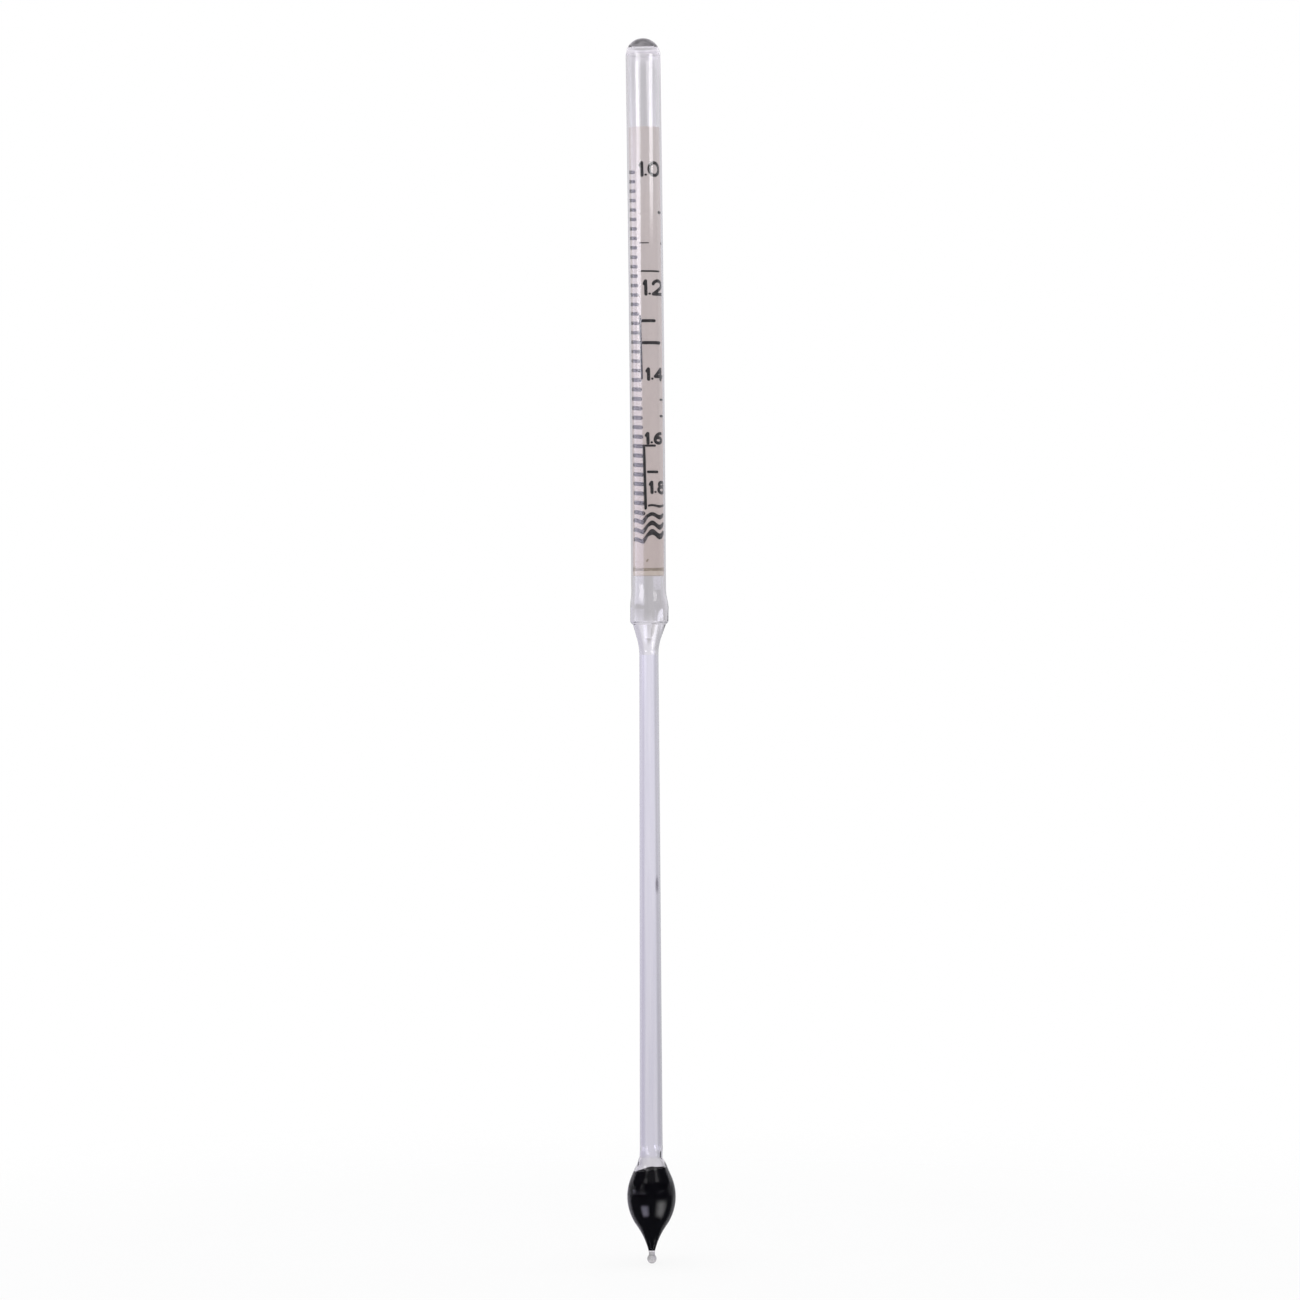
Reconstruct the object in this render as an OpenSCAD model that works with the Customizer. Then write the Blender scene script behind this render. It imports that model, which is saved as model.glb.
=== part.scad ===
// Sealed glass hydrometer for heavy liquids.
// A wide tube with a rolled paper scale is drawn down to a slim neck, which ends in a teardrop
// bulb weighted with shot set in black pitch. The glass sections meet at flame-fused seams.
// Millimetres, +Z up along the glass axis, origin at the lowest point of the bead at the tip.
// The scale is read from -Y.

/* [Overall] */
// Height from the lowest point of the bead to the top of the dome
total_h = 300; // [295:1:330]

/* [Scale tube] */
// Outside diameter of the wide tube
tube_d = 8.5; // [8.2:0.1:9]
// Glass thickness of the wide tube and its shoulder
tube_wall = 0.4; // [0.35:0.05:0.5]
// Height of the solid glass above the hollow, at the closed end
cap_h = 2.3; // [1.5:0.1:3]

/* [Shoulder] */
// Height at which the shoulder joins the neck
shoulder_z = 149; // [140:1:152]
// Height of the whole shoulder
shoulder_h = 16; // [15:0.5:18]
// Largest diameter of the swelling
swell_d = 9.4; // [9.2:0.1:10]
// Diameter of the taper where it meets the shelf under the swelling
shelf_d = 8; // [7.6:0.1:8.2]
// Height of the shelf above the neck's end
shelf_h = 7.4; // [7:0.1:8]

/* [Neck] */
// Outside diameter of the neck at its top
neck_top_d = 4.7; // [4.4:0.1:5]
// Outside diameter of the neck at the bulb
neck_bottom_d = 5.6; // [5.2:0.1:5.8]
// Glass thickness of the neck
neck_wall = 0.4; // [0.35:0.05:0.6]

/* [Bulb] */
// Largest diameter of the bulb
bulb_d = 11.9; // [11.5:0.1:12.5]
// Height of the bulb's widest place
bulb_z = 16.4; // [16:0.1:17]
// Height at which the bulb joins the neck
bulb_top_z = 26.1; // [26:0.1:27]
// Radius of the bulb's rounded flank, seen from the side
flank_r = 12.2; // [11.8:0.1:12.6]
// Glass thickness of the bulb
bulb_wall = 0.35; // [0.3:0.05:0.5]

/* [Tip] */
// Diameter of the bead
bead_d = 2.3; // [2:0.1:2.6]
// Diameter of the stem between the bead and the bulb
stem_d = 1.5; // [1.3:0.1:1.7]
// Height at which the stem joins the bulb
stem_z = 2.9; // [2.8:0.1:3.2]

/* [Paper scale] */
// Height of the paper's lower edge
paper_z = 168.4; // [167:0.1:172]
// Length of the paper
paper_h = 109.6; // [100:0.1:112]
// Thickness of the paper
paper_t = 0.1; // [0.08:0.01:0.12]
// Gap between the paper and the glass
paper_gap = 0.08; // [0.08:0.01:0.12]
// Height of the glue band at the paper's lower edge
glue_h = 1.1; // [0.5:0.1:2]

/* [Graduations] */
// Height of the line for specific gravity 1
water_z = 265.4; // [262:0.1:268]
// Stem length that displaces the instrument's own mass of water
gravity_span = 174.2; // [170:0.1:176]
// Height of the topmost mark of the even scale
even_top_z = 267; // [262:0.1:268]
// Distance between two marks of the even scale
even_step = 2.31; // [2.2:0.01:2.35]
// Number of marks on the even scale
even_count = 40; // [30:1:40]

/* [Ballast] */
// Height of the pitch's top surface on the axis
pitch_z = 23.1; // [22:0.1:23.5]
// Tilt of the pitch's top surface, lower towards -X
pitch_tilt = 8; // [0:1:10]
// Diameter of one steel shot
shot_d = 2.5; // [2.4:0.1:2.6]

/* [Hidden] */
$fn = 96;
arc_steps = 16; // straight pieces that stand for one arc of an outline
fit_gap = 0.03; // clearance that keeps neighbouring solids apart

tube_r = tube_d / 2;
bore_r = tube_r - tube_wall;
dome_z = total_h - tube_r;
tube_z = shoulder_z + shoulder_h;

// Paper and ink lie in the gap inside the wide tube.
paper_r = bore_r - paper_gap;
ink_t = paper_gap - fit_gap;
lap_angle = 30; // how far the paper's two edges overlap at the back
lap_start = 75; // direction of the paper's outer edge
dip_angle = 30; // stretch in which the paper dips under its own edge
lap_dip = 1.3 * paper_t;
roll_step = 5; // the rolled paper's outline has a point at each such angle
bold_h = 0.65; // height of a numbered line
fine_h = 0.35; // height of any other line
fine_gravity_step = 0.05;
bold_gravity_step = 0.2;
last_gravity = 2;

// The swelling narrows to the wide tube in two equal arcs.
swell_top_z = tube_z - 4.8;
swell_angle = 2 * atan((swell_d / 2 - tube_r) / (tube_z - swell_top_z));
swell_r = (tube_z - swell_top_z) / 2 / sin(swell_angle);
// Below the swelling come a rounded corner, a short shelf, a cone and a flare into the neck.
shelf_angle = 50;
corner_r = 0.75;
shelf = [shelf_d / 2, shoulder_z + shelf_h];
corner_x = swell_d / 2 - corner_r;
shelf_run = corner_x + corner_r * cos(shelf_angle) - shelf.x;
corner_c = [corner_x, shelf.y + shelf_run / tan(shelf_angle) + corner_r * sin(shelf_angle)];
flare_r = 6;
flare_c = [neck_top_d / 2 + flare_r, shoulder_z];
from_flare = shelf - flare_c;
cone_angle = atan2(from_flare.x, from_flare.y) + asin(flare_r / norm(from_flare));

// The bulb's flank is one arc about flank_c, which lies beyond the axis.
flank_c = [bulb_d / 2 - flank_r, bulb_z];
// A straight cone from the neck touches the flank at this angle.
neck_joint = [neck_bottom_d / 2, bulb_top_z] - flank_c;
crown_angle = atan2(neck_joint.y, neck_joint.x) - acos(flank_r / norm(neck_joint));
// Below the flank an arc of the opposite curve runs down to the stem.
turn_angle = 35.6;
turn = flank_c + flank_r * [cos(turn_angle), -sin(turn_angle)];
foot = [stem_d / 2, stem_z];
foot_angle = 2 * atan2(turn.x - foot.x, turn.y - foot.y) - turn_angle;
foot_r = (turn.y - foot.y) / (sin(turn_angle) - sin(foot_angle));
foot_c = turn + foot_r * [cos(turn_angle), -sin(turn_angle)];
hollow_z = stem_z + bulb_wall;

// Shot lies in close-packed layers, as many as the bulb takes.
shot_r = shot_d / 2;
shot_spacing = shot_d + 0.1;
shot_layer_h = shot_spacing * sqrt(2 / 3);
shot_first_z = 6.05;
shot_layers = 8;
shot_rings = 3; // rings tried round the axis in one layer

// Unit vector at an angle from the radial direction.
function at(angle) = [cos(angle), sin(angle)];

// Points of an arc about c, from angle a0 to a1.
function arc(c, r, a0, a1) = [
  for (i = [0:arc_steps]) c + r * at(a0 + (a1 - a0) * i / arc_steps)
];

// Corner between two straight sides whose outward normals are a and b, moved inwards by inset.
function mitre(p, a, b, inset) = p - inset * (a + b) / (1 + a * b);

// Side outline of the shoulder, moved inwards by inset, from the neck up to the wide tube.
function shoulder_side(inset) = concat(
  arc(flare_c, flare_r + inset, 180, 180 - cone_angle),
  [mitre(shelf, at(-cone_angle), at(-shelf_angle), inset)],
  arc(corner_c, corner_r - inset, -shelf_angle, 0),
  arc([swell_d / 2 - swell_r, swell_top_z], swell_r - inset, 0, swell_angle),
  arc([tube_r + swell_r, tube_z], swell_r + inset, 180 + swell_angle, 180)
);

// Side outline of the bulb, moved inwards by inset, from the stem up to the neck.
function bulb_side(inset) = concat(
  arc(foot_c, foot_r + inset, 180 - foot_angle, 180 - turn_angle),
  arc(flank_c, flank_r - inset, -turn_angle, crown_angle),
  [[neck_bottom_d / 2 - inset / cos(crown_angle), bulb_top_z]]
);

// Height of the line for one specific gravity.
function gravity_z(gravity) = water_z - gravity_span * (1 - 1 / gravity);

// Height of the pitch's tilted top above the point x on the reader's left-right axis.
function pitch_top(x) = pitch_z + x * tan(pitch_tilt);

// Distance from a point [radius, height] in the bulb to the glass around it.
function glass_distance(p) =
  p.y < turn.y ? norm(p - foot_c) - foot_r - bulb_wall
  : min(
    flank_r - bulb_wall - norm(p - flank_c),
    flank_r - bulb_wall - (p - flank_c) * at(crown_angle)
  );

// Whether one shot at [x, y, z] lies inside the fill with pitch all round it.
function shot_fits(p) =
  glass_distance([norm([p.x, p.y]), p.z]) > shot_r + 2 * fit_gap
  && (pitch_top(p.x) - p.z) * cos(pitch_tilt) > shot_r + 2 * fit_gap;

shot_places = [
  for (layer = [0:shot_layers - 1], i = [-shot_rings:shot_rings], j = [-shot_rings:shot_rings])
    let (shift = layer % 2 / 3)
    let (x = (i + shift + (j + shift) / 2) * shot_spacing)
    let (y = (j + shift) * sqrt(3) / 2 * shot_spacing)
    let (p = [x, y, shot_first_z + layer * shot_layer_h])
    if (shot_fits(p)) p
];

// Glass between an outer and an inner outline, both given from the bottom up.
module glass_shell(outer, inner) {
  color("lightgrey")
    rotate_extrude()
      polygon(concat(outer, [for (i = [len(inner) - 1:-1:0]) inner[i]]));
}

// A band of a cylinder's wall that stands outside radius r, from angle a0 through sweep.
module band(r, thickness, z, height, a0, sweep) {
  translate([0, 0, z])
    rotate([0, 0, a0])
      rotate_extrude(angle = sweep)
        translate([r, 0])
          square([thickness, height]);
}

// Closed end: a hemisphere, solid above the hollow.
module end_dome() {
  color("lightgrey")
    translate([0, 0, dome_z])
      difference() {
        sphere(r = tube_r);
        translate([0, 0, -tube_r])
          cube(2 * tube_r, center = true);
        intersection() {
          sphere(r = bore_r);
          translate([0, 0, tube_r - cap_h - bore_r])
            cube(2 * bore_r, center = true);
        }
      }
}

// Wide straight tube around the paper.
module scale_tube() {
  color("lightgrey")
    translate([0, 0, tube_z])
      difference() {
        cylinder(h = dome_z - tube_z, r = tube_r);
        translate([0, 0, -1])
          cylinder(h = dome_z - tube_z + 2, r = bore_r);
      }
}

// Swelling and taper between the wide tube and the neck.
module shoulder() {
  glass_shell(shoulder_side(0), shoulder_side(tube_wall));
}

// Slim tube, slightly wider at the bulb.
module neck_tube() {
  glass_shell(
    [[neck_bottom_d / 2, bulb_top_z], [neck_top_d / 2, shoulder_z]],
    [[neck_bottom_d / 2 - neck_wall, bulb_top_z], [neck_top_d / 2 - neck_wall, shoulder_z]]
  );
}

// Flat outline of what fills the bulb inside the given distance from its outer surface.
module bulb_inside(inset) {
  intersection() {
    polygon(concat([[0, stem_z]], bulb_side(inset), [[0, bulb_top_z]]));
    translate([0, stem_z + inset])
      square([bulb_d, bulb_top_z]);
  }
}

// Blown teardrop, solid at its foot and open towards the neck.
module ballast_bulb() {
  color("lightgrey")
    rotate_extrude()
      difference() {
        polygon(concat([[0, stem_z]], bulb_side(0), [[0, bulb_top_z]]));
        bulb_inside(bulb_wall);
      }
}

// Solid stem and bead at the lowest point.
module tip_bead() {
  color("lightgrey") {
    translate([0, 0, bead_d / 2])
      sphere(d = bead_d);
    translate([0, 0, bead_d / 2])
      cylinder(h = stem_z - bead_d / 2, d = stem_d);
  }
}

// Outer radius of the rolled paper after a turn of the given angle from its outer edge.
// In the last stretch of the first turn it dips, so that the inner edge lies under the outer one.
function roll_r(turned) = paper_r - lap_dip * max(0, min(1, (turned - 360 + dip_angle) / dip_angle));

// Paper rolled to a cylinder, with its edges lapped at the back.
module paper_scale() {
  turns = [0:roll_step:360 + lap_angle];
  outside = [for (a = turns) roll_r(a) * at(a)];
  inside = [for (a = turns) (roll_r(a) - paper_t) * at(a)];
  color("linen")
    translate([0, 0, paper_z])
      rotate([0, 0, lap_start])
        linear_extrude(height = paper_h)
          polygon(concat(outside, [for (i = [len(inside) - 1:-1:0]) inside[i]]));
}

// Ink lines: even marks on the left, gravity lines on the right, and the lines that bound them.
module graduations() {
  color("black") {
    for (i = [0:even_count - 1])
      ink(even_top_z - i * even_step, fine_h, -62, -24);
    for (gravity = [1:fine_gravity_step:last_gravity])
      gravity_line(gravity);
    baseline_z = gravity_z(last_gravity) + bold_h;
    ink(baseline_z, gravity_z(1) - bold_h - baseline_z, -21, -19);
    band(paper_r, ink_t, paper_z + glue_h + bold_h, bold_h, lap_start, 360 - dip_angle);
  }
}

// One line for a specific gravity, longer and bolder where a number stands beside it.
module gravity_line(gravity) {
  steps = round((gravity - 1) / fine_gravity_step);
  numbered = steps % round(bold_gravity_step / fine_gravity_step) == 0;
  line_h = numbered ? bold_h : fine_h;
  ink(gravity_z(gravity) - line_h / 2, line_h, -18, numbered ? 60 : 35);
}

// Ink from height z up, between two directions counted to the reader's right from the front.
module ink(z, height, from, to) {
  band(paper_r, ink_t, z, height, from - 90, to - from);
}

// Glue between the paper's lower edge and the glass.
module scale_adhesive() {
  color("tan")
    band(paper_r, paper_gap, paper_z, glue_h, 0, 360);
}

// Black pitch around the shot, set with a tilted top.
module ballast_pitch() {
  color("black")
    difference() {
      rotate_extrude()
        bulb_inside(bulb_wall + fit_gap);
      rotate([0, -pitch_tilt, 0])
        translate([0, 0, bulb_top_z + pitch_z])
          cube(2 * bulb_top_z, center = true);
      shot(fit_gap);
    }
}

// Steel shot, each ball grown by the given gap.
module shot(gap) {
  for (p = shot_places)
    translate(p)
      sphere(r = shot_r + gap);
}

module ballast_shot() {
  color("dimgrey")
    shot(0);
}

end_dome();
scale_tube();
shoulder();
neck_tube();
ballast_bulb();
tip_bead();
paper_scale();
graduations();
scale_adhesive();
ballast_pitch();
ballast_shot();
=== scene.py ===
"""Looks of the sealed glass hydrometer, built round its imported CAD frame.

Shapes are worked out in millimetres and written to meshes in metres. The reader looks along +Y,
and an angle round the axis is 0 at the front and grows towards the reader's right.
"""

import math

import bmesh
import bpy
from mathutils import Matrix, Vector


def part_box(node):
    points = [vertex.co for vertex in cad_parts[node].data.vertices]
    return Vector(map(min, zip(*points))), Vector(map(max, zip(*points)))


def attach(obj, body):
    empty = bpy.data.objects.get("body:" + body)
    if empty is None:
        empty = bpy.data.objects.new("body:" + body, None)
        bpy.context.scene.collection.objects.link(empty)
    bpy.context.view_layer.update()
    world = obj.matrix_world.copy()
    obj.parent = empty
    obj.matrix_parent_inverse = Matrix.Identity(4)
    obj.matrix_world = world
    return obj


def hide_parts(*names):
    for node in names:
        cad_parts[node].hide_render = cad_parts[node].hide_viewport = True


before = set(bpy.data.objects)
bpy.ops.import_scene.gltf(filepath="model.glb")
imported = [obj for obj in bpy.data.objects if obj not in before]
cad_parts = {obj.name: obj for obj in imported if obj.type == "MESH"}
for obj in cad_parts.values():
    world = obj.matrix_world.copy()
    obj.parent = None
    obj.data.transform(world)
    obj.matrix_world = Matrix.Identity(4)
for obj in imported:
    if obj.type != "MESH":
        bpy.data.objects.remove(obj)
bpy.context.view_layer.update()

MM = 0.001
BODY = "root"

# ---------------------------------------------------------------- sizes read from the frame


def node_box(name):
    """Lowest and highest corner of a CAD node, in millimetres."""
    low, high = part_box(name)
    return low / MM, high / MM


def ring_radii(name, height):
    """Smallest and largest distance from the axis among a CAD node's points at one height."""
    reach = 0.02
    radii = [
        math.hypot(v.co.x, v.co.y) / MM
        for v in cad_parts[name].data.vertices
        if abs(v.co.z / MM - height) < reach
    ]
    return min(radii), max(radii)


def circle_through(a, b, c):
    """Centre and radius of the circle through three points."""
    squares = a.length_squared, b.length_squared, c.length_squared
    twice = 2 * (a.x * (b.y - c.y) + b.x * (c.y - a.y) + c.x * (a.y - b.y))
    x = squares[0] * (b.y - c.y) + squares[1] * (c.y - a.y) + squares[2] * (a.y - b.y)
    y = squares[0] * (c.x - b.x) + squares[1] * (a.x - c.x) + squares[2] * (b.x - a.x)
    centre = Vector((x, y)) / twice
    return centre, (a - centre).length


def widest(name, depth):
    """Largest radius and its height, from the arc through the outermost points of a CAD node's
    outline. The points used lie within so many millimetres of the largest radius."""
    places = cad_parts[name].data.vertices
    outline = [Vector((math.hypot(v.co.x, v.co.y) / MM, v.co.z / MM)) for v in places]
    outermost = max(outline, key=lambda p: p.x)
    outer = sorted((p for p in outline if p.x > outermost.x - depth), key=lambda p: p.y)
    centre, radius = circle_through(outer[0], outermost, outer[-1])
    return centre.x + radius, centre.y


TUBE_LOW, TUBE_HIGH = node_box("scale_tube")
SHOULDER_LOW, SHOULDER_HIGH = node_box("shoulder")
BULB_LOW, BULB_HIGH = node_box("ballast_bulb")
BEAD_HIGH = node_box("tip_bead")[1]
PAPER_LOW, PAPER_HIGH = node_box("paper_scale")
GLUE_LOW, GLUE_HIGH = node_box("scale_adhesive")

TOP_Z = node_box("end_dome")[1].z
BORE_R, TUBE_R = ring_radii("scale_tube", TUBE_HIGH.z)
TUBE_WALL = TUBE_R - BORE_R
NECK_BORE_R, NECK_R = ring_radii("neck_tube", SHOULDER_LOW.z)
NECK_FOOT_BORE_R, NECK_FOOT_R = ring_radii("neck_tube", BULB_HIGH.z)
SWELL_R = SHOULDER_HIGH.x
BULB_R, BULB_Z = widest("ballast_bulb", 0.3)
STEM_R = ring_radii("tip_bead", BEAD_HIGH.z)[1]
BEAD_R = BEAD_HIGH.x
BULB_WALL = BULB_R - widest("ballast_pitch", 1.0)[0]
PAPER_R = ring_radii("scale_adhesive", GLUE_LOW.z)[0]

# ---------------------------------------------------------------- outlines


def at(angle):
    """Unit vector [outwards, up] at an angle from the outward direction."""
    return Vector((math.cos(math.radians(angle)), math.sin(math.radians(angle))))


def arc(centre, radius, start, end, steps=24):
    """Points of an arc in the [radius, height] plane."""
    return [centre + radius * at(start + (end - start) * i / steps) for i in range(steps + 1)]


def line(start, end, spacing):
    """Points from start up to, and not including, end."""
    count = max(1, round((end - start).length / spacing))
    return [start.lerp(end, i / count) for i in range(count)]


def mitre(corner, normal_a, normal_b, inset):
    """Corner between two straight sides, moved inwards by inset."""
    return corner - inset * (normal_a + normal_b) / (1 + normal_a.dot(normal_b))


SWELL_H = 4.8  # height over which the tube widens to the swelling
SHELF_R = 4.0  # where the cone from the neck ends and the shelf under the swelling starts
SHELF_H = 7.4


def shoulder_side(inset):
    """The shoulder's side from the neck up to the wide tube."""
    swell_top = TUBE_LOW.z - SWELL_H
    swell_angle = math.degrees(2 * math.atan((SWELL_R - TUBE_R) / (TUBE_LOW.z - swell_top)))
    swell_arc_r = (TUBE_LOW.z - swell_top) / 2 / math.sin(math.radians(swell_angle))
    shelf = Vector((SHELF_R, SHOULDER_LOW.z + SHELF_H))
    shelf_angle = 50
    corner_r = 0.75
    corner_x = SWELL_R - corner_r
    run = corner_x + corner_r * math.cos(math.radians(shelf_angle)) - shelf.x
    rise = run / math.tan(math.radians(shelf_angle))
    rise += corner_r * math.sin(math.radians(shelf_angle))
    corner = Vector((corner_x, shelf.y + rise))
    flare_r = 14
    flare = Vector((NECK_R + flare_r, SHOULDER_LOW.z))
    reach = shelf - flare
    cone_angle = math.degrees(math.atan2(reach.x, reach.y) + math.asin(flare_r / reach.length))
    shelf_point = mitre(shelf, at(-cone_angle), at(-shelf_angle), inset)
    bulge = Vector((SWELL_R - swell_arc_r, swell_top))
    hollow = Vector((TUBE_R + swell_arc_r, TUBE_LOW.z))
    return (
        arc(flare, flare_r + inset, 180, 180 - cone_angle)
        + [shelf_point]
        + arc(corner, corner_r - inset, -shelf_angle, 0, 8)
        + arc(bulge, swell_arc_r - inset, 0, swell_angle, 10)
        + arc(hollow, swell_arc_r + inset, 180 + swell_angle, 180, 10)[1:]
    )


def bulb_side(inset):
    """The bulb's side from the stem up to the neck."""
    flank_r = 12.2
    flank = Vector((BULB_R - flank_r, BULB_Z))
    joint = Vector((NECK_FOOT_R, BULB_HIGH.z)) - flank
    crown_angle = math.degrees(math.atan2(joint.y, joint.x) - math.acos(flank_r / joint.length))
    turn_angle = 35.6
    turn = flank + flank_r * at(-turn_angle)
    rise = turn - Vector((STEM_R, BULB_LOW.z))
    foot_angle = 2 * math.degrees(math.atan2(rise.x, rise.y)) - turn_angle
    foot_r = rise.y / (math.sin(math.radians(turn_angle)) - math.sin(math.radians(foot_angle)))
    foot = turn + foot_r * at(-turn_angle)
    top = Vector((NECK_FOOT_R - inset / math.cos(math.radians(crown_angle)), BULB_HIGH.z))
    crown = arc(flank, flank_r - inset, -turn_angle, crown_angle)
    return (
        arc(foot, foot_r + inset, 180 - foot_angle, 180 - turn_angle)
        + crown[1:]
        + line(crown[-1], top, 0.5)[1:]
        + [top]
    )


def above(points, height):
    """The part of a rising outline from one height up, cut exactly at that height."""
    kept = [p for p in points if p.y > height]
    below = [p for p in points if p.y <= height][-1]
    share = (height - below.y) / (kept[0].y - below.y)
    return [below.lerp(kept[0], share)] + kept


# ---------------------------------------------------------------- mesh building


BOW = 0.42  # how far the whole glass bows to the right
LURCH = 0.22  # how much further it stands off at the swelling
LURCH_Z = SHOULDER_LOW.z + 10


def hump(height, middle, spread):
    """1 at one height, fading out above and below it."""
    return math.exp(-(((height - middle) / spread) ** 2))


def sway(point):
    """The finished place of a point: hand-drawn glass bows to the right, most above its middle."""
    share = min(1, max(0, point.z / TOP_Z))
    bow = BOW * math.sin(math.pi * share**1.5)
    return point + Vector((bow + LURCH * hump(point.z, LURCH_Z, 4), 0, 0))


def smooth_step(share):
    """Rises gently from 0 to 1, and stays there."""
    share = min(1, max(0, share))
    return share * share * (3 - 2 * share)


FRONT_CONE = 0.2  # how far the cone in front widens, which is more on the left
FRONT_CONE_Z = TUBE_LOW.z + 2.25  # where it starts to widen
FRONT_CONE_H = 6.4


def lopsided(angle, height):
    """The swelling stands out least in front, where a long gentle cone takes its place."""
    turn = math.radians(angle)
    in_front = smooth_step(math.cos(turn) / 0.75)
    above_shelf = smooth_step((height - SHOULDER_LOW.z - 4) / 5)
    down = min(1, max(0, (TUBE_LOW.z - height) / SWELL_H))
    swelling = 2 * down * down if down < 0.5 else 1 - 2 * (1 - down) ** 2
    cone = smooth_step((FRONT_CONE_Z - height) / FRONT_CONE_H)
    widening = FRONT_CONE * (1 - 0.4 * math.sin(turn)) * cone
    return in_front * above_shelf * (widening - (SWELL_R - TUBE_R) * swelling)


LUMP = 0.10  # height of the lumps left by working the glass


def hand(angle, height):
    """How far hand-worked glass stands off a true round surface, in millimetres."""
    turn = math.radians(angle)
    drawn = 0.010 * math.sin(height / 25 + 3 * turn + 0.4) + 0.006 * math.sin(height / 40 - turn)
    seal = hump(height, BULB_HIGH.z - 0.5, 2.0)
    seal_lumps = LUMP * seal * math.sin(3 * turn + 1.9 * height + 1.2)
    shelf = hump(height, SHOULDER_LOW.z + 8.6, 1.8) * max(0, math.sin(turn - 0.2)) ** 2
    shelf_lumps = LUMP * shelf * math.sin(9 * turn + 2.3 * height)
    return drawn + lopsided(angle, height) + seal_lumps + shelf_lumps


def placed(radius, angle, height):
    """Point at a distance from the axis, at an angle from the front."""
    turn = math.radians(angle)
    return Vector((radius * math.sin(turn), -radius * math.cos(turn), height))


CREASE = math.radians(32)  # bends sharper than this are shaded as edges


def make_piece(name, points, faces, materials, nodes, face_slots=None):
    """Makes a closed smooth mesh from points in millimetres and seats it on the CAD body."""
    mesh = bpy.data.meshes.new(name)
    mesh.from_pydata([sway(p) * MM for p in points], [], faces)
    for material in materials:
        mesh.materials.append(material)
    if face_slots:
        mesh.polygons.foreach_set("material_index", face_slots)
    turned = bmesh.new()
    turned.from_mesh(mesh)
    bmesh.ops.recalc_face_normals(turned, faces=turned.faces)
    turned.to_mesh(mesh)
    turned.free()
    mesh.polygons.foreach_set("use_smooth", [True] * len(mesh.polygons))
    mesh.set_sharp_from_angle(angle=CREASE)
    mesh.update()
    piece = bpy.data.objects.new(name, mesh)
    bpy.context.scene.collection.objects.link(piece)
    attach(piece, BODY)
    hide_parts(*nodes)


SEGMENTS = 144  # steps round the axis
ON_AXIS = 1e-6  # points of an outline nearer than this lie on the axis
SAME_HEIGHT = 1e-6


def lathe(outline, seam_heights=(), wobble=hand):
    """Points, faces and face slots of a turned solid whose outline starts and ends on the axis
    or closes on itself. Slot 1 holds the faces that lie in a fused seam."""
    closed = outline[0].x > ON_AXIS
    points, rings = [], []
    for p in outline:
        if p.x < ON_AXIS:
            rings.append([len(points)])
            points.append(placed(0, 0, p.y))
            continue
        rings.append([len(points) + i for i in range(SEGMENTS)])
        for i in range(SEGMENTS):
            angle = 360 * i / SEGMENTS
            points.append(placed(p.x + wobble(angle, p.y), angle, p.y))
    faces, slots = [], []
    pairs = list(zip(range(len(outline)), list(range(1, len(outline))) + [0]))
    if not closed:
        pairs = pairs[:-1]
    for a, b in pairs:
        flat = outline[a].y == outline[b].y
        seam = flat and any(abs(outline[a].y - h) < SAME_HEIGHT for h in seam_heights)
        for i in range(SEGMENTS):
            j = (i + 1) % SEGMENTS
            if len(rings[a]) == 1:
                faces.append((rings[a][0], rings[b][j], rings[b][i]))
            elif len(rings[b]) == 1:
                faces.append((rings[a][i], rings[a][j], rings[b][0]))
            else:
                faces.append((rings[a][i], rings[a][j], rings[b][j], rings[b][i]))
            slots.append(1 if seam else 0)
    return points, faces, slots


def still(angle, height):
    """No wobble, for what isn't glass."""
    return 0


# ---------------------------------------------------------------- node helpers


def new_material(name):
    """An empty node material and its tree."""
    material = bpy.data.materials.new(name)
    material.use_nodes = True
    material.node_tree.nodes.clear()
    return material, material.node_tree


def add(tree, kind, **settings):
    """Adds a node, with its inputs and properties set by name."""
    node = tree.nodes.new(kind)
    for key, value in settings.items():
        if key.startswith("in_"):
            socket = node.inputs[key[3:].replace("_", " ")]
            if isinstance(value, bpy.types.NodeSocket):
                tree.links.new(value, socket)
            else:
                socket.default_value = value
        else:
            setattr(node, key, value)
    return node


def maths(tree, operation, a, b=None, clamp=False):
    """Result of one maths node, whose inputs are numbers or sockets."""
    node = tree.nodes.new("ShaderNodeMath")
    node.operation = operation
    node.use_clamp = clamp
    for i, value in enumerate((a, b)):
        if value is None:
            continue
        if isinstance(value, bpy.types.NodeSocket):
            tree.links.new(value, node.inputs[i])
        else:
            node.inputs[i].default_value = value
    return node.outputs[0]


def ramp(tree, value, low, high, to_low=0.0, to_high=1.0, smooth=True):
    """Maps low..high to to_low..to_high, clamped."""
    node = tree.nodes.new("ShaderNodeMapRange")
    node.interpolation_type = "SMOOTHSTEP" if smooth else "LINEAR"
    tree.links.new(value, node.inputs["Value"])
    node.inputs["From Min"].default_value = low
    node.inputs["From Max"].default_value = high
    node.inputs["To Min"].default_value = to_low
    node.inputs["To Max"].default_value = to_high
    return node.outputs["Result"]


def band(tree, value, low, high, soft):
    """1 between two values and 0 outside them."""
    return maths(
        tree,
        "MULTIPLY",
        ramp(tree, value, low - soft, low + soft),
        ramp(tree, value, high - soft, high + soft, 1.0, 0.0),
    )


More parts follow.
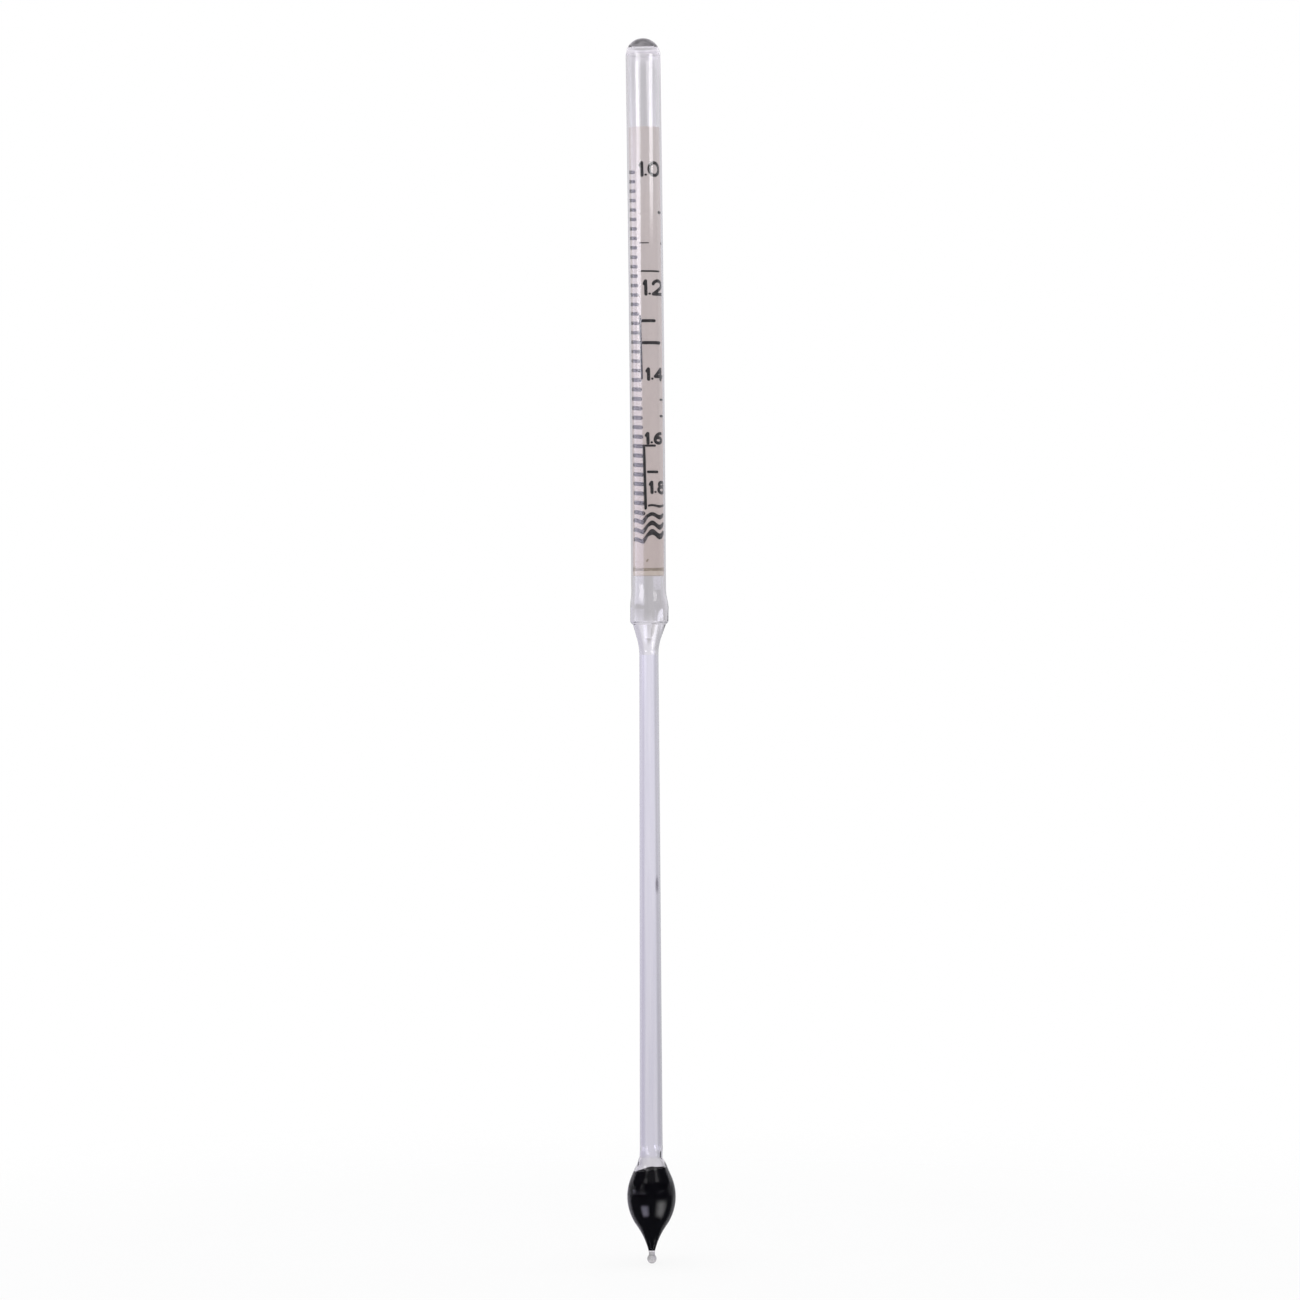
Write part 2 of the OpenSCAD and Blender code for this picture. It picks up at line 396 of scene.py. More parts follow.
def blend_colour(tree, share, a, b):
    """Colour between a and b."""
    node = tree.nodes.new("ShaderNodeMix")
    node.data_type = "RGBA"
    for socket, value in ((node.inputs["Factor"], share), (node.inputs[6], a), (node.inputs[7], b)):
        if isinstance(value, bpy.types.NodeSocket):
            tree.links.new(value, socket)
        else:
            socket.default_value = value
    return node.outputs[2]


def stretched_noise(tree, scale, stretch, detail=3.0):
    """Noise in object space, drawn out along the axis."""
    place = add(tree, "ShaderNodeTexCoord").outputs["Object"]
    mapping = add(tree, "ShaderNodeMapping", in_Vector=place, in_Scale=(1, 1, stretch))
    return add(
        tree, "ShaderNodeTexNoise", in_Vector=mapping.outputs[0], in_Scale=scale, in_Detail=detail
    ).outputs["Fac"]


def sees_studio(tree):
    """1 for rays that glass has reflected or bent, 0 for all others."""
    path = add(tree, "ShaderNodeLightPath")
    return maths(tree, "MAXIMUM", path.outputs["Is Glossy Ray"], path.outputs["Is Transmission Ray"])


def height_of(tree):
    """Height in millimetres of the shaded point."""
    place = add(tree, "ShaderNodeTexCoord")
    split = add(tree, "ShaderNodeSeparateXYZ", in_Vector=place.outputs["Object"])
    return maths(tree, "DIVIDE", split.outputs["Z"], MM)


# ---------------------------------------------------------------- materials


GLASS_IOR = 1.5
PALE_GLASS = (0.985, 0.98, 0.985, 1)
DEEP_GLASS = (0.955, 0.95, 0.957, 1)
SMOKE = (0.45, 0.43, 0.47, 1)


def light_passes(tree, surface, tint):
    """Output of a glass surface that lets the light of lamps and world straight through."""
    path = add(tree, "ShaderNodeLightPath")
    plain = maths(tree, "MAXIMUM", path.outputs["Is Shadow Ray"], path.outputs["Is Diffuse Ray"])
    clear = add(tree, "ShaderNodeBsdfTransparent", in_Color=tint)
    mix = add(tree, "ShaderNodeMixShader", in_Fac=plain)
    tree.links.new(surface, mix.inputs[1])
    tree.links.new(clear.outputs[0], mix.inputs[2])
    add(tree, "ShaderNodeOutputMaterial", in_Surface=mix.outputs[0])


def mark_share(tree, centre, half_wide, half_high):
    """1 in the middle of an upright oval patch, fading to 0 at its rim. All in mm."""
    place = add(tree, "ShaderNodeTexCoord")
    away = add(tree, "ShaderNodeVectorMath", operation="SUBTRACT")
    tree.links.new(place.outputs["Object"], away.inputs[0])
    away.inputs[1].default_value = centre * MM
    scaled = add(tree, "ShaderNodeVectorMath", operation="MULTIPLY")
    tree.links.new(away.outputs[0], scaled.inputs[0])
    across, up = 1 / (half_wide * MM), 1 / (half_high * MM)
    scaled.inputs[1].default_value = (across, across, up)
    distance = add(tree, "ShaderNodeVectorMath", operation="LENGTH")
    tree.links.new(scaled.outputs[0], distance.inputs[0])
    return ramp(tree, distance.outputs["Value"], 0.3, 1.0, 1.0, 0.0)


def dulled(tree, bands):
    """Share of its shine that glass keeps at each height, a tenth within the bands, in mm."""
    height = height_of(tree)
    dull = 0.0
    for low, high in bands:
        dull = maths(tree, "ADD", band(tree, height, low, high, 0.4), dull, clamp=True)
    return ramp(tree, dull, 0.0, 1.0, 1.0, 0.1, smooth=False)


def lumps(tree, seal_z):
    """Normal of glass that was worked lumpy round a seal at one height, in mm."""
    off = maths(tree, "ABSOLUTE", maths(tree, "SUBTRACT", height_of(tree), seal_z))
    near = ramp(tree, off, 0.6, 3.2, 1.0, 0.0)
    raised = maths(tree, "MULTIPLY", stretched_noise(tree, 520.0, 0.8, 0.0), near)
    bump = add(tree, "ShaderNodeBump", in_Strength=0.6, in_Distance=0.4 * MM, in_Height=raised)
    return bump.outputs[0]


def glass_look(name, pale, deep, roughness=0.0, mark=None, dull_bands=None, seal_z=None):
    """Clear glass with faint drawn streaks in its tint. It may have a smoky mark, bands of
    heights where it shines less, and lumps round a seal."""
    material, tree = new_material(name)
    streaks = stretched_noise(tree, 900.0, 0.04)
    tint = blend_colour(tree, ramp(tree, streaks, 0.35, 0.7), pale, deep)
    if mark:
        tint = blend_colour(tree, mark_share(tree, *mark), tint, SMOKE)
    glass = add(
        tree,
        "ShaderNodeBsdfPrincipled",
        in_Base_Color=tint,
        in_Roughness=roughness,
        in_IOR=GLASS_IOR,
        in_Transmission_Weight=1.0,
    )
    if dull_bands:
        tree.links.new(dulled(tree, dull_bands), glass.inputs["Specular Tint"])
    if seal_z:
        tree.links.new(lumps(tree, seal_z), glass.inputs["Normal"])
    light_passes(tree, glass.outputs[0], pale)
    return material


def painted_reflection_look():
    """Clear glass whose light is partly scattered white in a band below the solid end: a painted
    reflection of a bright ceiling.
    """
    material, tree = new_material("end_glass_with_painted_reflection")
    height = height_of(tree)
    pale_from = ramp(tree, height, TUBE_HIGH.z, TUBE_HIGH.z + 0.9)
    pale_to = ramp(tree, height, TOP_Z - SOLID_END - 0.3, TOP_Z - SOLID_END, 1.0, 0.0)
    # Painted reflection: the pale scattered band below the solid end stands in for a bright ceiling
    # seen in the glass.
    painted_pale = maths(tree, "MULTIPLY", maths(tree, "MULTIPLY", pale_from, pale_to), PAINTED_REFLECTION)
    clearness = maths(tree, "SUBTRACT", 1.0, painted_pale)
    clouds = ramp(tree, stretched_noise(tree, 900.0, 0.3), 0.35, 0.7)
    tint = blend_colour(tree, clouds, (0.99, 0.975, 1, 1), (0.95, 0.93, 0.97, 1))
    glass = add(
        tree,
        "ShaderNodeBsdfPrincipled",
        in_Base_Color=tint,
        in_Roughness=0.0,
        in_IOR=GLASS_IOR,
        in_Transmission_Weight=clearness,
    )
    light_passes(tree, glass.outputs[0], PALE_GLASS)
    return material


def dark_roof_look():
    """An opaque, mottled dark grey film on the roof of the hollow under the solid end."""
    material, tree = new_material("dark_roof_grey")
    clouds = ramp(tree, stretched_noise(tree, 800.0, 1.0), 0.3, 0.7)
    tone = blend_colour(tree, clouds, (0.14, 0.137, 0.143, 1), (0.32, 0.31, 0.325, 1))
    film = add(tree, "ShaderNodeBsdfPrincipled", in_Base_Color=tone, in_Roughness=0.6)
    add(tree, "ShaderNodeOutputMaterial", in_Surface=film.outputs[0])
    return material


def seam_look():
    """The inside of a fused joint, which can't be seen."""
    material, tree = new_material("fused_seam")
    clear = add(tree, "ShaderNodeBsdfTransparent")
    add(tree, "ShaderNodeOutputMaterial", in_Surface=clear.outputs[0])
    return material


def paper_look():
    """Off-white paper with fibres, browner towards its lower end."""
    material, tree = new_material("scale_paper")
    age = ramp(tree, height_of(tree), PAPER_LOW.z, PAPER_HIGH.z, smooth=False)
    tone = blend_colour(tree, age, (0.545, 0.463, 0.442, 1), (0.60, 0.547, 0.545, 1))
    fibres = stretched_noise(tree, 2600.0, 0.5, 6.0)
    blotches = stretched_noise(tree, 260.0, 0.6, 2.0)
    dark_fibres = ramp(tree, fibres, 0.35, 0.65, 0.0, 0.12)
    tone = blend_colour(tree, dark_fibres, tone, (0.36, 0.31, 0.31, 1))
    pale_blotches = ramp(tree, blotches, 0.45, 0.7, 0.0, 0.15)
    tone = blend_colour(tree, pale_blotches, tone, (0.66, 0.58, 0.55, 1))
    bump = add(tree, "ShaderNodeBump", in_Strength=0.25, in_Distance=0.02 * MM, in_Height=fibres)
    paper = add(
        tree,
        "ShaderNodeBsdfPrincipled",
        in_Base_Color=tone,
        in_Roughness=0.85,
        in_Normal=bump.outputs[0],
    )
    add(tree, "ShaderNodeOutputMaterial", in_Surface=paper.outputs[0])
    return material


def ink_look(name, ink, worn):
    """Printing ink, thinner in places."""
    material, tree = new_material(name)
    wear = stretched_noise(tree, 2200.0, 1.0, 4.0)
    tone = blend_colour(tree, ramp(tree, wear, 0.42, 0.68), ink, worn)
    paint = add(tree, "ShaderNodeBsdfPrincipled", in_Base_Color=tone, in_Roughness=0.6)
    add(tree, "ShaderNodeOutputMaterial", in_Surface=paint.outputs[0])
    return material


def glue_look():
    """Tan glue with cloudy patches."""
    material, tree = new_material("tan_glue")
    clouds = stretched_noise(tree, 1100.0, 1.0)
    tone = blend_colour(tree, clouds, (0.50, 0.425, 0.375, 1), (0.61, 0.54, 0.485, 1))
    glue = add(tree, "ShaderNodeBsdfPrincipled", in_Base_Color=tone, in_Roughness=0.35)
    add(tree, "ShaderNodeOutputMaterial", in_Surface=glue.outputs[0])
    return material


def pitch_look():
    """Black pitch, glossy and slightly uneven."""
    material, tree = new_material("black_pitch")
    uneven = stretched_noise(tree, 500.0, 1.0)
    tone = blend_colour(tree, uneven, (0.0015, 0.0015, 0.002, 1), (0.005, 0.005, 0.007, 1))
    bump = add(tree, "ShaderNodeBump", in_Strength=0.3, in_Distance=0.1 * MM, in_Height=uneven)
    pitch = add(
        tree,
        "ShaderNodeBsdfPrincipled",
        in_Base_Color=tone,
        in_Roughness=0.3,
        in_Specular_IOR_Level=0.0,
        in_Normal=bump.outputs[0],
    )
    add(tree, "ShaderNodeOutputMaterial", in_Surface=pitch.outputs[0])
    return material


def steel_look():
    """Dull grey shot."""
    material, tree = new_material("dull_steel")
    grain = stretched_noise(tree, 1500.0, 1.0)
    tone = blend_colour(tree, grain, (0.22, 0.22, 0.23, 1), (0.4, 0.4, 0.41, 1))
    steel = add(
        tree, "ShaderNodeBsdfPrincipled", in_Base_Color=tone, in_Metallic=1.0, in_Roughness=0.45
    )
    add(tree, "ShaderNodeOutputMaterial", in_Surface=steel.outputs[0])
    return material


SOLID_END = 2.3  # solid glass above the hollow's roof
PAINTED_REFLECTION = 0.24  # how much of the end's light is scattered white, as painted reflection
CLEAR = glass_look("clear_tube_glass", PALE_GLASS, DEEP_GLASS)
BULB_CLEAR = glass_look(
    "clear_bulb_glass",
    PALE_GLASS,
    DEEP_GLASS,
    dull_bands=((BULB_LOW.z - 1, BULB_LOW.z + 2.4), (BULB_Z + 0.3, BULB_Z + 3.9)),
    seal_z=BULB_HIGH.z,
)
NECK_MARK = (sway(placed(NECK_R, 45.6, 92.8)), 0.75, 3.0)  # place, half width and half height
LILAC = glass_look(
    "lilac_neck_glass",
    (0.98, 0.975, 1.0, 1),
    (0.935, 0.93, 0.97, 1),
    mark=NECK_MARK,
    seal_z=BULB_HIGH.z,
)
CLOUDY = glass_look("cloudy_bead_glass", (0.79, 0.785, 0.765, 1), (0.65, 0.645, 0.63, 1), 0.25)
REFLECTION_PAINTED_GLASS = painted_reflection_look()
DARK_ROOF = dark_roof_look()
SEAM = seam_look()
PAPER = paper_look()
INK = ink_look("black_ink", (0.004, 0.003, 0.004, 1), (0.03, 0.024, 0.026, 1))
WORN_INK = ink_look("worn_black_ink", (0.035, 0.028, 0.033, 1), (0.13, 0.11, 0.12, 1))
OCHRE = ink_look("ochre_ink", (0.27, 0.22, 0.18, 1), (0.42, 0.35, 0.29, 1))
GLUE = glue_look()
PITCH = pitch_look()
STEEL = steel_look()

# ---------------------------------------------------------------- glass


ROOF_LEAN = 8.0  # degrees
DARK_ROOF_R = 2.35  # radius of the dark grey patch on the hollow's roof


def glass_piece(node, outline, material, seam_heights):
    """A turned piece of glass that stands for one CAD node."""
    points, faces, slots = lathe(outline, seam_heights)
    make_piece(node + "_glass", points, faces, [material, SEAM], [node], slots)


def build_dome():
    """Closed end: a hemisphere, solid above the hollow, whose roof leans a little to the front."""
    centre = Vector((0, TUBE_HIGH.z))
    roof_z = TOP_Z - SOLID_END
    side = math.degrees(math.asin((roof_z - centre.y) / BORE_R))
    outside = arc(centre, TUBE_R, 90, 0)
    outside[0].x = 0
    inside = arc(centre, BORE_R, 0, side, 10)
    roof = line(inside[-1], Vector((0, roof_z)), 0.5)[1:] + [Vector((0, roof_z))]
    points, faces, slots = lathe(outside + inside + roof, [centre.y])
    first_inner = 1 + SEGMENTS * (len(outside) - 1)
    for p in points[first_inner:]:
        p.z += p.y * math.tan(math.radians(ROOF_LEAN)) * (p.z - centre.y) / (roof_z - centre.y)
    # Faces of the roof near the axis take the opaque dark grey film.
    dark_roof_faces = SEGMENTS * sum(1 for p in roof if p.x < DARK_ROOF_R)
    slots[-dark_roof_faces:] = [2] * dark_roof_faces
    materials = [REFLECTION_PAINTED_GLASS, SEAM, DARK_ROOF]
    make_piece("end_dome_glass", points, faces, materials, ["end_dome"], slots)


def build_scale_tube():
    """The wide tube, in even rings so that its unevenness shows."""
    low, high = TUBE_LOW.z, TUBE_HIGH.z
    outside = line(Vector((TUBE_R, high)), Vector((TUBE_R, low)), 1.0) + [Vector((TUBE_R, low))]
    inside = line(Vector((BORE_R, low)), Vector((BORE_R, high)), 1.0) + [Vector((BORE_R, high))]
    glass_piece("scale_tube", outside + inside, CLEAR, [low, high])


def build_shoulder():
    """The swelling, shelf and cone between the wide tube and the neck."""
    outside = list(reversed(shoulder_side(0)))
    glass_piece("shoulder", outside + shoulder_side(TUBE_WALL), CLEAR, [SHOULDER_LOW.z, TUBE_LOW.z])


def build_neck():
    """The slim tube, which widens a little downwards."""
    low, high = BULB_HIGH.z, SHOULDER_LOW.z
    top, foot = Vector((NECK_R, high)), Vector((NECK_FOOT_R, low))
    bore_top, bore_foot = Vector((NECK_BORE_R, high)), Vector((NECK_FOOT_BORE_R, low))
    outside = line(top, foot, 2.0) + [foot]
    inside = line(bore_foot, bore_top, 2.0) + [bore_top]
    glass_piece("neck_tube", outside + inside, LILAC, [low, high])


def build_bulb():
    """Blown teardrop, solid at its foot and open towards the neck."""
    low, hollow = BULB_LOW.z, BULB_LOW.z + BULB_WALL
    inside = above(bulb_side(BULB_WALL), hollow)
    outside = list(reversed(bulb_side(0)))
    outline = [Vector((0, hollow))] + inside + outside + [Vector((0, low))]
    glass_piece("ballast_bulb", outline, BULB_CLEAR, [low, BULB_HIGH.z])


def build_bead():
    """Solid stem and bead at the lowest point."""
    centre = Vector((0, BEAD_R))
    meet = math.degrees(math.acos(STEM_R / BEAD_R))
    bead = arc(centre, BEAD_R, -90, meet, 20)
    bead[0].x = 0
    stem = [Vector((STEM_R, BEAD_HIGH.z)), Vector((0, BEAD_HIGH.z))]
    glass_piece("tip_bead", bead + stem, CLOUDY, [BEAD_HIGH.z])


# ---------------------------------------------------------------- ballast


PITCH_Z = 23.1  # height of the pitch's top on the axis
PITCH_TILT = 8  # degrees
DISH = 0.15  # how far the pitch's top sinks in its middle
WETTING = 0.08  # how far the pitch reaches into the glass that it wets


def pitch_height(x):
    """Height of the tilted top of the pitch at a place left or right of the axis."""
    return PITCH_Z + x * math.tan(math.radians(PITCH_TILT))


def build_pitch():
    """The fill wets the glass, so it reaches a hair past the hollow's surface."""
    wet = BULB_WALL - WETTING
    side = above(bulb_side(wet), BULB_LOW.z + wet)
    rims = [rim_of(side, 360 * i / SEGMENTS) for i in range(SEGMENTS)]
    lowest = min(rim.y for rim in rims)
    wall = [p for p in side if p.y < lowest - 0.05]
    rise_steps, dish_steps = 6, 12
    per = len(wall) + rise_steps + dish_steps - 1
    points = [Vector((0, 0, side[0].y)), Vector((0, 0, PITCH_Z - DISH))]
    faces = []
    for i, rim in enumerate(rims):
        angle = 360 * i / SEGMENTS
        column = wall + rise(side, wall[-1].y, rim.y, rise_steps)
        points += [placed(p.x + hand(angle, p.y), angle, p.y) for p in column]
        for k in range(1, dish_steps):
            share = 1 - k / dish_steps
            x = rim.x * share * math.sin(math.radians(angle))
            sunk = DISH * (1 - share**2)
            points.append(placed(rim.x * share, angle, pitch_height(x) - sunk))
    for i in range(SEGMENTS):
        a, b = 2 + i * per, 2 + (i + 1) % SEGMENTS * per
        faces.append((0, b, a))
        for k in range(per - 1):
            faces.append((a + k, b + k, b + k + 1, a + k + 1))
        faces.append((a + per - 1, b + per - 1, 1))
    make_piece("pitch_fill", points, faces, [PITCH], ["ballast_pitch"])


def rise(side, low, high, steps):
    """Points on a rising outline at even heights above low, the last one at high."""
    return [above(side, low + (high - low) * k / steps)[0] for k in range(1, steps + 1)]


def rim_of(side, angle):
    """Where the pitch's tilted top meets the side, at one angle."""
    turn = math.sin(math.radians(angle))
    for low, high in zip(side, side[1:]):
        gap_low = low.y - pitch_height(low.x * turn)
        gap_high = high.y - pitch_height(high.x * turn)
        if gap_low <= 0 < gap_high:
            return low.lerp(high, gap_low / (gap_low - gap_high))
    return side[-1]


def loose_parts(mesh):
    """The points of each part of a mesh that hangs together, in millimetres."""
    leader = list(range(len(mesh.vertices)))

    def leader_of(i):
        while leader[i] != i:
            i = leader[i]
        return i

    for edge in mesh.edges:
        a, b = edge.vertices
        leader[leader_of(a)] = leader_of(b)
    parts = {}
    for v in mesh.vertices:
        parts.setdefault(leader_of(v.index), []).append(v.co / MM)
    return list(parts.values())


def build_shot():
    """Steel balls where the CAD has them."""
    balls = bmesh.new()
    for part in loose_parts(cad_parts["ballast_shot"].data):
        low = Vector([min(p[k] for p in part) for k in range(3)])
        high = Vector([max(p[k] for p in part) for k in range(3)])
        place = Matrix.Translation((low + high) / 2)
        bmesh.ops.create_icosphere(balls, subdivisions=4, radius=(high.z - low.z) / 2, matrix=place)
    balls.verts.index_update()
    points = [v.co.copy() for v in balls.verts]
    faces = [tuple(v.index for v in face.verts) for face in balls.faces]
    balls.free()
    make_piece("steel_shot", points, faces, [STEEL], ["ballast_shot"])


# ---------------------------------------------------------------- paper and print

PAPER_T = 0.1
INK_T = 0.045
SECOND_INK_T = 0.06  # a hair higher, so that strokes which cross the first ink don't share a face
TWIST = 0.317  # degrees by which the rolled sheet turns per millimetre down
BASE_ANGLE = -20.5  # direction of the printed base line at BASE_Z
BASE_Z = 223.6
WATER_Z = 265.4
GRAVITY_SPAN = 174.2


COCKLED_BELOW = 188
COCKLE = 0.55  # half the height of a wave


def ripple(angle, height):
    """The sheet's lower end is cockled, which lifts and drops the print in waves."""
    share = smooth_step((COCKLED_BELOW - height) / 8)
    wave = math.cos(math.radians(6 * (angle - 15)))
    if angle < -15:
        wave = 0.3 * (wave + 1) - 1
    return COCKLE * share * (wave + 0.3)


def roll(across, height, lift=0.0):
    """Place on the rolled sheet of a point so far to the right of the base line."""
    angle = BASE_ANGLE + TWIST * (BASE_Z - height) + math.degrees(across / PAPER_R)
    return placed(PAPER_R + lift, angle, height + ripple(angle, height))


def gravity_height(gravity):
    """Height of the line for one specific gravity."""
    return WATER_Z - GRAVITY_SPAN * (1 - 1 / gravity)


def build_paper():
    """A sheet rolled to a cylinder, its edges lapped at the back."""
    lap, dip, step = 30, 30, 3
    turns = [i * step for i in range((360 + lap) // step + 1)]
    heights = [PAPER_LOW.z + (PAPER_HIGH.z - PAPER_LOW.z) * k / 40 for k in range(41)]
    start = 165

    def outer(turned):
        share = min(1, max(0, (turned - 360 + dip) / dip))
        return PAPER_R - 1.3 * PAPER_T * share

    points, faces = [], []
    for height in heights:
        for inset in (0, PAPER_T):
            for turned in turns:
                points.append(placed(outer(turned) - inset, start + turned, height))
    row = len(turns)
    layer = 2 * row

    def index(k, side, i):
        return k * layer + side * row + i

    for k in range(len(heights) - 1):
        for i in range(row - 1):
            a, b = index(k, 0, i), index(k, 0, i + 1)
            faces.append((a, b, b + layer, a + layer))
            a, b = index(k, 1, i), index(k, 1, i + 1)
            faces.append((b, a, a + layer, b + layer))
        for i in (0, row - 1):
            a, b = index(k, 0, i), index(k, 1, i)
            c, d = index(k + 1, 1, i), index(k + 1, 0, i)
            faces.append((b, a, d, c) if i == 0 else (a, b, c, d))
    top = (len(heights) - 1) * layer
    for i in range(row - 1):
        a, b = index(0, 0, i), index(0, 0, i + 1)
        faces.append((b, a, a + row, b + row))
        faces.append((top + a, top + b, top + b + row, top + a + row))
    make_piece("rolled_paper", points, faces, [PAPER], ["paper_scale"])


SHARP = math.radians(50)  # turns sharper than this start a new stroke
ROUND_END = [math.radians(t) for t in (12, 32, 60)]  # where a stroke's half-round end is cut
PEN_STEP = 0.25  # longest step along a stroke


def corners(pair, ink_t):
    """The two sides of a stroke at the paper's face and at the ink's."""
    left, right = pair
    return (left, 0.0), (right, 0.0), (right, ink_t), (left, ink_t)


class Print:
    """Collects thin raised strokes of ink into one mesh."""

    def __init__(self, ink_t=INK_T):
        self.ink_t = ink_t
        self.points = []
        self.faces = []

    def stroke(self, path, width):
        """One stroke of the pen along [across, height] points, with round ends. It's drawn as
        separate strokes from one sharp corner to the next."""
        path = [Vector(p) for p in path]
        run = [path[0]]
        for a, b, c in zip(path, path[1:], path[2:]):
            run.append(b)
            if (b - a).angle(c - b) > SHARP:
                self.smooth_stroke(run, width)
                run = [b]
        self.smooth_stroke(run + [path[-1]], width)

    def smooth_stroke(self, path, width):
        """A stroke without sharp corners."""
        middle = [path[0]]
        for a, b in zip(path, path[1:]):
            count = max(1, math.ceil((b - a).length / PEN_STEP))
            middle += [a.lerp(b, i / count) for i in range(1, count + 1)]
        befores = middle[:1] + middle[:-1]
        afters = middle[1:] + middle[-1:]
        alongs = [(after - before).normalized() for before, after in zip(befores, afters)]
        half = width / 2
        start, start_along = middle[0], alongs[0]
        end, end_along = middle[-1], alongs[-1]
        stops = []
        for t in ROUND_END:
            stops.append((start - half * math.cos(t) * start_along, start_along, half * math.sin(t)))
        stops += [(p, along, half) for p, along in zip(middle, alongs)]
        for t in reversed(ROUND_END):
            stops.append((end + half * math.cos(t) * end_along, end_along, half * math.sin(t)))
        sections = []
        for p, along, reach in stops:
            side = Vector((-along.y, along.x)) * reach
            pair = corners((p + side, p - side), self.ink_t)
            sections.append([roll(q.x, q.y, lift) for q, lift in pair])
        self.bar(sections)

    def ring(self, path, width):
        """A stroke along [angle, height] points, level where the path is."""
        half = Vector((0, width / 2))
        sections = []
        for p in path:
            pair = corners((Vector(p) + half, Vector(p) - half), self.ink_t)
            sections.append([placed(PAPER_R + lift, q.x, q.y) for q, lift in pair])
        self.bar(sections)

    def bar(self, sections):
        """A closed bar through sections of four corners each."""
        start = len(self.points)
        for section in sections:
            self.points += section
        end = len(self.points) - 4
        for a in range(start, end, 4):
            for k in range(4):
                b = (k + 1) % 4
                self.faces.append((a + b, a + k, a + 4 + k, a + 4 + b))
        self.faces.append((start, start + 1, start + 2, start + 3))
        self.faces.append((end + 3, end + 2, end + 1, end))

    def piece(self, name, material):
        """Makes the piece out of all strokes so far."""
        make_piece(name, self.points, self.faces, [material], ["graduations"])


EVEN_COUNT = 40
EVEN_TOP_Z = 267
EVEN_STEP = 2.31
FINE_COUNT = 22  # even marks from the top down that are printed finer
FINE_STROKE = 0.85
FULL_STROKE = 1.0
JOINED = {37: 1.90, 38: 1.95, 39: 2.00}  # even marks that run on into a gravity line


def even_marks():
    """The even scale on the left: forty marks that end just short of the base line."""
    marks = Print()
    for i in range(EVEN_COUNT):
        height = EVEN_TOP_Z - EVEN_STEP * i
        path = [(-2.9, height + 0.1), (-0.6, height - 0.1)]
        if i in JOINED:
            path = [(-3.2, height + 0.5), (-0.9, height + 0.1), (0.3, gravity_height(JOINED[i]))]
        marks.stroke(path, FINE_STROKE if i < FINE_COUNT else FULL_STROKE)
    marks.piece("even_marks", WORN_INK)


# Visible stretches of each gravity line, in millimetres to the right of the base line, and width.
GRAVITY_LINES = (
    (1.05, 5.4, 6.6, 0.7),
    (1.10, 0.3, 2.7, 0.25),
    (1.10, 6.3, 7.2, 0.6),
    (1.15, 0.5, 5.4, 0.4),
    (1.25, 0.1, 3.8, 0.75),
    (1.30, 0.2, 5.1, 0.8),
    (1.45, 4.4, 5.6, 0.5),
    (1.50, 4.3, 5.6, 0.6),
    (1.60, 0.2, 2.9, 0.55),
    (1.70, 0.5, 3.4, 0.65),
    (1.85, 0.5, 5.2, 0.6),
    (1.90, 0.2, 5.0, 1.05),
    (1.95, 0.2, 5.0, 1.2),
    (2.00, 0.2, 5.0, 1.45),
)


# Stretches of the upright base line, from one gravity to another, and width.
BASE_LINE = (1.24, 1.39, 0.5), (1.6, 1.86, 0.65)


def gravity_lines():
    """The gravity scale on the right, as far as its print has taken."""
    lines = Print(SECOND_INK_T)
    for gravity, start, end, width in GRAVITY_LINES:
        height = gravity_height(gravity)
        lines.stroke([(start + width / 2, height), (end - width / 2, height)], width)
    for low, high, width in BASE_LINE:
        lines.stroke([(0, gravity_height(low)), (0, gravity_height(high))], width)
    lines.piece("gravity_lines", INK)


def curve(across, up, half_wide, half_high, start, end):
    """Points along an oval, from one clock angle to another. 0 is its top, 90 its right."""
    steps = max(2, round(abs(end - start) / 15))
    turns = [math.radians(start + (end - start) * i / steps) for i in range(steps + 1)]
    return [(across + half_wide * math.sin(t), up + half_high * math.cos(t)) for t in turns]


# Strokes of the numerals in a cell one unit wide and one unit high.
NUMERALS = {
    "0": [curve(0.5, 0.5, 0.42, 0.45, 0, 360)],
    "1": [[(0.2, 0.76), (0.55, 0.95), (0.55, 0.05)]],
    "2": [curve(0.48, 0.68, 0.38, 0.28, -75, 125) + [(0.1, 0.06), (0.95, 0.06)]],
    "4": [[(0.7, 0.03), (0.7, 0.95), (0.08, 0.3), (0.95, 0.3)]],
    "6": [curve(0.5, 0.31, 0.38, 0.26, 0, 360), curve(0.8, 0.33, 0.68, 0.62, 0, -90)],
    "8": [curve(0.5, 0.76, 0.3, 0.2, 0, 360), curve(0.5, 0.29, 0.38, 0.26, 0, 360)],
}


# Gravity, height of its print, and how far the print is shifted to the right.
NUMBERS = (1.0, 3.4, 0.0), (1.2, 3.6, 0.0), (1.4, 2.8, 0.0), (1.6, 2.6, -0.6), (1.8, 2.8, 0.0)
NUMERAL_STROKE = 0.78
POINT_STROKE = 0.55  # decimal point
WHOLE_X, POINT_X, TENTH_X = 1.05, 2.48, 3.05  # from the base line to each part of a number


